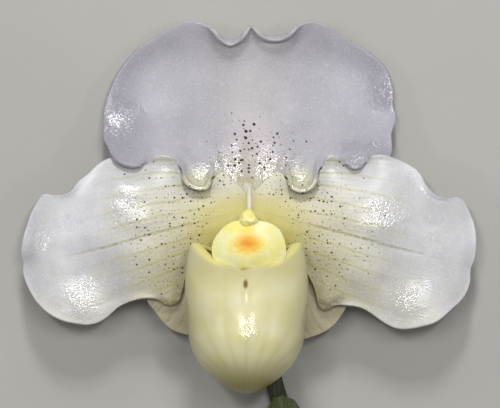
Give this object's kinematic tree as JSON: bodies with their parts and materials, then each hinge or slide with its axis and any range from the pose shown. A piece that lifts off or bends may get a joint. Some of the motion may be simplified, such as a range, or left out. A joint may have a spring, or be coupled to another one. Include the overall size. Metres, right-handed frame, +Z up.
{
  "type": "paphiopedilum orchid bloom",
  "caption": "Pale slipper orchid bloom on a short cut stem: broad waved dorsal sepal, two wide waved petals, hollow pouch, shield over its mouth.",
  "frame": {"origin": "on the surface the bloom lies on, under the middle of its box", "axes": "+X across the flower, to the right as seen from the front; +Y from the cut stem towards the dorsal sepal; +Z up, out of the flower's face"},
  "size_m": [0.1106, 0.1702, 0.0449],
  "materials": {
    "sepal": "waxy satin, white with a lavender cast",
    "petal": "waxy satin, cream white, yellower at the base",
    "pouch": "waxy gloss, cream yellow",
    "shield": "waxy satin, lemon with an orange middle",
    "column": "satin, cream",
    "anther": "matt, yellow",
    "ovary": "matt, dark green, short hairs",
    "bract": "satin, green",
    "scape": "matt, brown purple, short hairs"
  },
  "bodies": {
    "root": {"dorsal_sepal": "sepal", "petal_left": "petal", "petal_right": "petal", "synsepalum": "sepal", "pouch": "pouch", "staminode": "shield", "column": "column", "anther_left": "anther", "anther_right": "anther", "ovary": "ovary", "bract": "bract", "scape": "scape"}
  },
  "joints": []
}
